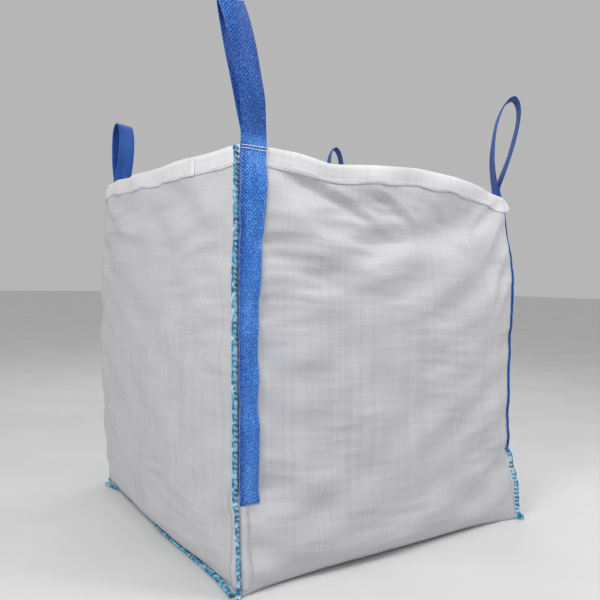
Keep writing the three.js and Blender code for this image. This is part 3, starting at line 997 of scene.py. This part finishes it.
def corner_flap(face):
    """One flat part of the near allowance, which lies on a face below the strap's end."""
    height = np.linspace(14 * MM, 226 * MM, 40)
    edge = FLAP_WIDTH + 0.7 * MM * smooth_noise(height, np.zeros_like(height), 330, (0.08, 0.3), (0.5, 1), 8)
    points = []
    for reach, lift in FLAP_PROFILE:
        points.append(on_face(face, -HALF + reach * edge, height, lift * MM))
    return swept("seam_allowance_front_left_on_" + face, np.stack(points, axis=1), PANEL_CLOTH)


for face in ("front", "left"):
    ride_bag(corner_flap(face), "corner_seam_allowance_front_left")
print("seam lines", sorted(SEAM_LINES))

# %% [markdown]
# ## Straps and lifting loops
#
# Each corner has one length of webbing. It starts at a cut end low on the face, climbs the face,
# leaves the rim, goes round the eye of the loop and comes back down behind its own outer leg. So
# it is modelled as one sweep, not as three pieces. Below the rim every point is laid on the
# simulated cloth; above it the strap follows its own curve, and the weave bends smoothly where
# the rim is.

# %% Straps and lifting loops
STRAP_MIDDLE = 416 * MM
HINGE_RISE = 4.3 * MM
EYE_START = 22 * MM
LOOPS = {
    # length above the rim, eye width, lean along the face, twist in degrees and the share of it
    # that is there from the rim on, cup of the crown, tip outwards, slide along the rim
    "front_left": (291, 24, -62, 6, 0, 5, 0, 0),
    "rear_left": (214, 24, 4, 20, 0.6, 2, 0, 20),
    "front_right": (290, 40, -34, 43, 0.75, 3, 22, 0),
    "rear_right": (262, 34, 12, 24, 0.3, 2, -6, 0),
}
STRAP_COLUMNS = 13
# the strap's section: shares of its half width and half thickness, with the corners rounded
SLAB = [(w, 1.0) for w in np.linspace(-0.975, 0.975, 13)] + [(1, 0.45), (1, -0.45)]
SLAB += [(-w, -t) for w, t in SLAB]


def strap_hinge(corner):
    """Height at which the strap leaves the rim."""
    face, side = corner_side(corner)
    return float(rim_height(face, side * STRAP_MIDDLE)) + HINGE_RISE


def strap_path(corner, step=7 * MM):
    """Distance out from the face pair and height above the hinge, from cut end to cut end."""
    length, eye = LOOPS[corner][0] * MM, LOOPS[corner][1] * MM
    half_gap = WEBBING / 2 + 0.12 * MM
    hinge = strap_hinge(corner)
    turn = np.linspace(0, 2 * np.pi, 200)
    reach = eye * np.sin(turn) * np.sin(turn / 2) + half_gap * np.cos(turn / 2)
    rise = EYE_START + (length - EYE_START - WEBBING / 2) / 2 * (1 - np.cos(turn))
    outer = np.linspace(STRAP_END - hinge, EYE_START, 200, endpoint=False)
    under = np.linspace(EYE_START, STRAP_END + 30 * MM - hinge, 200)[1:]
    path = np.concatenate([
        np.stack([np.full_like(outer, half_gap), outer], axis=-1),
        np.stack([reach, rise], axis=-1),
        np.stack([np.full_like(under, -half_gap), under], axis=-1),
    ])
    run = np.concatenate([[0], np.cumsum(np.linalg.norm(np.diff(path, axis=0), axis=-1))])
    even = np.linspace(0, run[-1], int(run[-1] / step))
    return even, np.interp(even, run, path[:, 0]), np.interp(even, run, path[:, 1])


def strap_surface(corner, seed):
    """The strap's middle surface as [station, column across], and the run along it."""
    face, side = corner_side(corner)
    length, _, lean, twist, early, cup, tip, slide = LOOPS[corner]
    run, out_by, rise = (x[:, None] for x in strap_path(corner))
    middle = side * STRAP_MIDDLE
    hinge = strap_hinge(corner)
    across = np.linspace(-1, 1, STRAP_COLUMNS)[None, :] * STRAP_WIDTH / 2
    edge = smooth_noise(run, np.zeros_like(run), seed, (0.08, 0.4), (0.5, 1), 12) * 0.5 * MM
    flutter = smooth_noise(run, across, seed + 1, (0.10, 0.4), (0.04, 0.12), 14) * 0.5 * MM
    height = rise + hinge
    depth = -rise - HINGE_RISE
    pair = 2.8 * MM + 2.7 * MM * (1 - smoothstep(HEM_DEPTH, HEM_DEPTH + 14 * MM, depth))
    step_down = (out_by > 0) * 2.3 * MM * (1 - smoothstep(STRAP_END + 8 * MM, STRAP_END + 30 * MM, height))
    lift = pair + out_by - step_down + np.abs(flutter) * (out_by > 0) * smoothstep(0, 60 * MM, depth)
    place = middle + across + edge + side * wrap_at(corner, height)
    laid = round_corner(corner, place, np.broadcast_to(height, place.shape), lift)
    laid[:, 1:-1] = laid[:, 1:-1] * 0.4 + (laid[:, :-2] + laid[:, 2:]) * 0.3
    share = np.clip((rise - EYE_START) / (length * MM - EYE_START), 0, 1)
    turn = np.radians(twist) * (early + (1 - early) * share ** 0.6)
    bowl = cup * MM * (across / (STRAP_WIDTH / 2)) ** 2 * share ** 2
    reach = 5.15 * MM + across * np.sin(turn) + (out_by - bowl * np.sign(out_by)) * np.cos(turn)
    reach = reach + flutter * smoothstep(0, 40 * MM, rise) * 1.4 + tip * MM * share ** 1.4
    shift = slide * MM + lean * MM * share ** 1.3 + across * np.cos(turn) - out_by * np.sin(turn) + edge
    along, out = np.array(FACES[face]["along"]), np.array(FACES[face]["out"])
    start = on_face(face, middle, rim_height(face, middle))
    flying = start + shift[..., None] * along + reach[..., None] * out
    flying[..., 2] = height
    mix = smoothstep(-22 * MM, 26 * MM, rise)[..., None]
    surface = laid * (1 - mix) + flying * mix
    surface[0, :, 2] += np.linspace(-2, 2, STRAP_COLUMNS) * MM * side
    return surface, run


def strap_outlines(surface):
    normal = grid_normals(surface)
    column = np.linspace(-1, 1, surface.shape[1])
    points = []
    for w, t in SLAB:
        at = np.interp(w, column, np.arange(len(column)))
        low = int(min(at, len(column) - 2))
        part = at - low
        middle = surface[:, low] * (1 - part) + surface[:, low + 1] * part
        direction = normal[:, low] * (1 - part) + normal[:, low + 1] * part
        points.append(middle + direction * (t * WEBBING / 2))
    return np.stack(points, axis=1)


STRAP_SURFACES = {}
for number, corner in enumerate(CORNERS):
    surface, run = strap_surface(corner, 400 + 3 * number)
    outlines = strap_outlines(surface)
    slab_across = np.array([w for w, _ in SLAB])
    flat_across = slab_across * STRAP_WIDTH / 2 + STRAP_WIDTH / 2
    flat_points = np.stack(np.broadcast_arrays(flat_across[None, :], run + 0.31 * number), axis=-1)
    strap = swept(f"lifting_strap_{corner}", outlines, WEBBING_CLOTH, flat_points)
    # Painted shade: this attribute darkens the loops and the strap edges folded round a corner.
    painted_shade = strap.data.attributes.new("painted_shade", "FLOAT", "POINT")
    side = corner_side(corner)[1]
    loop_part = smoothstep(-6 * MM, 24 * MM, outlines[..., 2] - strap_hinge(corner))
    from_edge = 1 - side * slab_across[None, :]
    folded = {"front_left": 0.5, "front_right": 1.0}.get(corner, 0)
    edge_part = 1 - smoothstep(folded - 0.07, folded + 0.07, from_edge)
    shade = np.maximum(loop_part, edge_part * smoothstep(-1, 0, -loop_part) * 0.9)
    painted_shade.data.foreach_set("value", shade.ravel().astype(np.float32))
    hinge = HINGES[corner]
    start, end = hinge - Vector((0, 0, 8 * MM)), hinge + Vector((0, 0, 18 * MM))
    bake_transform(strap)
    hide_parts("strap_outer_leg_" + corner, "strap_under_leg_" + corner, "lift_loop_" + corner)
    STRAP_SURFACES[corner] = surface

# %% [markdown]
# ## Stitches along a line
#
# Thread is the same small shape again and again, so it is a job for Geometry Nodes. The host is a
# bare polyline that carries, at each point, the direction the stitch must face. The tree walks
# along it at an even pitch, sets one stitch at each step, turns it to the line and the direction,
# and makes each a little different. Its inputs are the pitch, the stitch, the thread and a seed.

# %% Stitches along a line
def thread_tube(name, points, radius, closed=False, sides=1):
    """A mesh tube along points, for one stitch, a knot or a thread's tail."""
    curve = bpy.data.curves.new(name, "CURVE")
    curve.dimensions = "3D"
    curve.bevel_depth = radius
    curve.bevel_resolution = sides
    curve.use_fill_caps = not closed
    spline = curve.splines.new("POLY")
    spline.points.add(len(points) - 1)
    spline.points.foreach_set("co", [x for point in points for x in (*point, 1)])
    spline.use_cyclic_u = closed
    source = bpy.data.objects.new(name, curve)
    SCENE.collection.objects.link(source)
    bpy.context.view_layer.update()
    mesh = bpy.data.meshes.new_from_object(source.evaluated_get(bpy.context.evaluated_depsgraph_get()))
    bpy.data.objects.remove(source)
    bpy.data.curves.remove(curve)
    made = bpy.data.objects.new(name, mesh)
    SCENE.collection.objects.link(made)
    smooth(made)
    return made


def joined(name, parts):
    """Several mesh objects as one."""
    with bpy.context.temp_override(active_object=parts[0], selected_editable_objects=parts):
        bpy.ops.object.join()
    parts[0].name = name
    return parts[0]


def stitch_tree():
    tree = bpy.data.node_groups.new("stitches_along_a_line", "GeometryNodeTree")
    sockets = [
        ("Line", "INPUT", "NodeSocketGeometry"), ("Pitch", "INPUT", "NodeSocketFloat"),
        ("Stitch", "INPUT", "NodeSocketObject"), ("Thread", "INPUT", "NodeSocketMaterial"),
        ("Unevenness", "INPUT", "NodeSocketFloat"), ("Seed", "INPUT", "NodeSocketInt"),
        ("Stitches", "OUTPUT", "NodeSocketGeometry"),
    ]
    for name, way, kind in sockets:
        tree.interface.new_socket(name, in_out=way, socket_type=kind)
    given = node(tree, "NodeGroupInput").outputs
    curve = node(tree, "GeometryNodeMeshToCurve", {"Mesh": given["Line"]}).outputs["Curve"]
    spacing = {"Curve": curve, "Length": given["Pitch"]}
    steps = node(tree, "GeometryNodeResampleCurve", spacing, mode="LENGTH")
    facing = node(tree, "GeometryNodeInputNamedAttribute", {"Name": "facing"}, data_type="FLOAT_VECTOR")
    along = node(tree, "GeometryNodeInputTangent").outputs["Tangent"]
    upright = node(tree, "FunctionNodeAlignRotationToVector", {"Vector": along}, axis="Z")
    turned = node(
        tree, "FunctionNodeAlignRotationToVector",
        {"Rotation": upright.outputs["Rotation"], "Vector": facing.outputs["Attribute"]},
        axis="X", pivot_axis="Z",
    )
    chance = node(
        tree, "FunctionNodeRandomValue",
        {"Min": (-1, -1, -1), "Max": (1, 1, 1), "Seed": given["Seed"]}, data_type="FLOAT_VECTOR",
    )
    size = node(
        tree, "ShaderNodeVectorMath",
        {0: chance.outputs["Value"], 1: given["Unevenness"], 2: (1, 1, 1)}, operation="MULTIPLY_ADD",
    )
    shape = node(tree, "GeometryNodeObjectInfo", {"Object": given["Stitch"]})
    placed = node(tree, "GeometryNodeInstanceOnPoints", {
        "Points": steps.outputs["Curve"], "Instance": shape.outputs["Geometry"],
        "Rotation": turned.outputs["Rotation"], "Scale": size.outputs["Vector"],
    })
    real = node(tree, "GeometryNodeRealizeInstances", {"Geometry": placed.outputs["Instances"]})
    dyed = node(tree, "GeometryNodeSetMaterial", {
        "Geometry": real.outputs["Geometry"], "Material": given["Thread"],
    })
    node(tree, "NodeGroupOutput", {"Stitches": dyed.outputs["Geometry"]})
    return tree


STITCH_TREE = stitch_tree()
SOCKETS = {s.name: s.identifier for s in STITCH_TREE.interface.items_tree if s.in_out == "INPUT"}


def sew(name, lines, pitch, stitch, thread, seed, unevenness=0.08):
    """Stitches along several lines. Each line is (points, facing directions)."""
    points = np.concatenate([line[0] for line in lines])
    mesh = bpy.data.meshes.new(name)
    edges, start = [], 0
    for line in lines:
        edges += [(i, i + 1) for i in range(start, start + len(line[0]) - 1)]
        start += len(line[0])
    mesh.from_pydata(points.tolist(), edges, [])
    facing = mesh.attributes.new("facing", "FLOAT_VECTOR", "POINT")
    facing.data.foreach_set("vector", np.concatenate([line[1] for line in lines]).ravel())
    made = bpy.data.objects.new(name, mesh)
    SCENE.collection.objects.link(made)
    modifier = made.modifiers.new("stitches", "NODES")
    modifier.node_group = STITCH_TREE
    values = {"Pitch": pitch, "Stitch": stitch, "Thread": thread, "Unevenness": unevenness, "Seed": seed}
    for socket, value in values.items():
        modifier[SOCKETS[socket]] = value
    settled(made)
    smooth(made)
    return made


def overlock_stitch():
    """One wrap round a fin's edge and one link of the chain that closes it; x points outwards."""
    turn = np.linspace(0, 2 * np.pi, 13)[:-1]
    box = np.stack([np.cos(turn), np.sin(turn)], axis=-1)
    box = np.sign(box) * np.abs(box) ** 0.6
    wrap = [(x * 5.8 - 4.4, y * 2.6, 2.6 * x * np.sign(y)) for x, y in box]
    link = [(1.5 + 0.6 * math.cos(a), 1.9 * math.sin(a), 5.6 * math.cos(a) + 1) for a in turn[::2]]
    second = [(x, y, z + 3.4) for x, y, z in wrap]
    parts = [
        thread_tube(name, [tuple(v * MM for v in p) for p in path], radius * MM, True, 0)
        for name, path, radius in (("wrap", wrap, 1.5), ("wrap", second, 1.5), ("link", link, 1.3))
    ]
    return joined("overlock_stitch", parts)


def flat_stitch(name, length, radius):
    """One lockstitch: a short thread that dips into the cloth at both ends; x points outwards."""
    path = [(-0.8, -0.5), (0.35, -0.42), (0.7, -0.2), (0.7, 0.2), (0.35, 0.42), (-0.8, 0.5)]
    return thread_tube(name, [(x * radius, 0, z * length) for x, z in path], radius, False, 0)


OVERLOCK_PITCH = 11.5 * MM
OVERLOCK_STITCH = overlock_stitch()
STRAP_STITCH = flat_stitch("strap_stitch", 5.2 * MM, 0.5 * MM)
TACK_STITCH = flat_stitch("tack_stitch", 5.6 * MM, 0.8 * MM)
HEM_STITCH = flat_stitch("hem_stitch", 6.5 * MM, 0.5 * MM)

# %% [markdown]
# The overlock runs up all four corners and along the foot of both sides. On the two right-hand
# corners it stops just above the strap's end, where the strap covers it. The straps are sewn to
# the face along both edges, with two rows of tacking across the top, and each hem carries one
# long row of white lockstitch.

# %% Sewing the bag
def overlock(place, node_name, seed):
    line = [SEAM_LINES[place]]
    made = sew("overlock_" + place, line, OVERLOCK_PITCH, OVERLOCK_STITCH, OVERLOCK_THREAD, seed)
    ride_bag(made, node_name)


for number, corner in enumerate(CORNERS):
    overlock(corner, "corner_overlock_thread_" + corner, number)
for number, face in enumerate(("left", "right")):
    overlock("bottom_" + face, "bottom_overlock_thread_" + face, 5 + number)


def strap_rows(corner):
    """The two edge rows, then the tack rows, each as points and facing directions."""
    face, side = corner_side(corner)
    surface = STRAP_SURFACES[corner]
    normal = grid_normals(surface)
    normal *= np.sign((normal[:40] @ np.array(FACES[face]["out"])).mean())
    outer = surface[:, :, 2] < strap_hinge(corner) - 18 * MM
    outer &= np.arange(len(surface))[:, None] < len(surface) // 2
    last = int(outer.all(axis=1).sum())
    column = np.linspace(-1, 1, STRAP_COLUMNS)
    rows = []
    for w in (-0.86, 0.86):
        at = np.interp(w, column, np.arange(STRAP_COLUMNS))
        low = int(at)
        part = at - low
        line = surface[2:last, low] * (1 - part) + surface[2:last, low + 1] * part
        facing = normal[2:last, low]
        rows.append((line + facing * (WEBBING / 2 + 0.1 * MM), facing))
    tacks = []
    for z in (-6, -12.5):
        level = strap_hinge(corner) + z * MM
        station = int(np.argmax(surface[:len(surface) // 2, 6, 2] > level))
        line = surface[station, 1:12] + normal[station, 1:12] * (WEBBING / 2 + 0.9 * MM)
        line[:, 2] += level - surface[station, 6, 2]
        tacks.append((line, normal[station, 1:12]))
    return rows, tacks


for number, corner in enumerate(CORNERS):
    rows, tacks = strap_rows(corner)
    made = sew(f"strap_edge_stitches_{corner}", rows, 6.2 * MM, STRAP_STITCH, STRAP_THREAD, 20 + number)
    ride_bag(made, "strap_edge_stitching_" + corner)
    made = sew(f"rim_tack_stitches_{corner}", tacks, 6.0 * MM, TACK_STITCH, HEM_THREAD, 30 + number)
    ride_bag(made, "rim_tack_stitching_" + corner)


def hem_row(face):
    across = np.linspace(-HALF + 6 * MM, HALF - 6 * MM, 160)
    line = on_face(face, across, rim_height(face, across) - STITCH_ROW_DEPTH, 1.5 * MM)
    facing = np.broadcast_to(np.array(FACES[face]["out"]), line.shape)
    return line, facing


for number, face in enumerate(FACES):
    made = sew(f"hem_stitches_{face}", [hem_row(face)], 7.5 * MM, HEM_STITCH, HEM_THREAD, 40 + number)
    ride_bag(made, "hem_stitch_line_" + face)

# %% [markdown]
# ## Knots and thread tails
#
# At the foot of each corner the overlock ends in a knot with a short tail, and a smaller knot
# closes the upper end of each upright run. A knot is a thread wound on itself, so it is a trefoil
# curve with a round section.

# %% Knots and thread tails
def knot(name, centre, size, tail, seed):
    turn = np.linspace(0, 2 * np.pi, 37)[:-1]
    path = np.stack([
        np.sin(turn) + 2 * np.sin(2 * turn),
        np.cos(turn) - 2 * np.cos(2 * turn),
        -1.4 * np.sin(3 * turn),
    ], axis=-1) * size / 3.2
    turned = path @ np.array(Matrix.Rotation(seed * 1.1, 3, Vector((1, 1, 0.4))))
    parts = [thread_tube("wound", turned + np.array(centre), size * 0.34, True, 1)]
    if tail:
        random = np.random.default_rng(seed)
        way = np.array(tail) * MM
        share = np.linspace(0, 1, 12)[:, None]
        bend = np.sin(share * 3.5) * random.uniform(-4, 4, 3) * MM
        parts.append(thread_tube("tail", np.array(centre) + way * share + bend * share, 1.1 * MM, False, 1))
    made = joined(name, parts)
    made.data.materials.append(OVERLOCK_THREAD)
    return made


for number, corner in enumerate(CORNERS):
    foot = SEAM_LINES[corner][0][0]
    centre = np.array([foot[0], foot[1], 11 * MM])
    out = np.sign(centre[:2])
    tail = (out[0] * 3, out[1] * 12, -centre[2] * 1000 + 2)
    size = (9 if corner == "front_right" else 7.5) * MM
    made = knot(f"thread_knot_{corner}_wound", centre, size, tail, 50 + number)
    ride_bag(made, "thread_knot_" + corner)
    end = SEAM_LINES[corner][0][-1] + np.array([0, 0, 1.5 * MM])
    made = knot(f"thread_end_{corner}", end, 4 * MM, None, 60 + number)
    ride_bag(made, "corner_overlock_thread_" + corner)
for helper in (OVERLOCK_STITCH, STRAP_STITCH, TACK_STITCH, HEM_STITCH):
    bpy.data.objects.remove(helper)
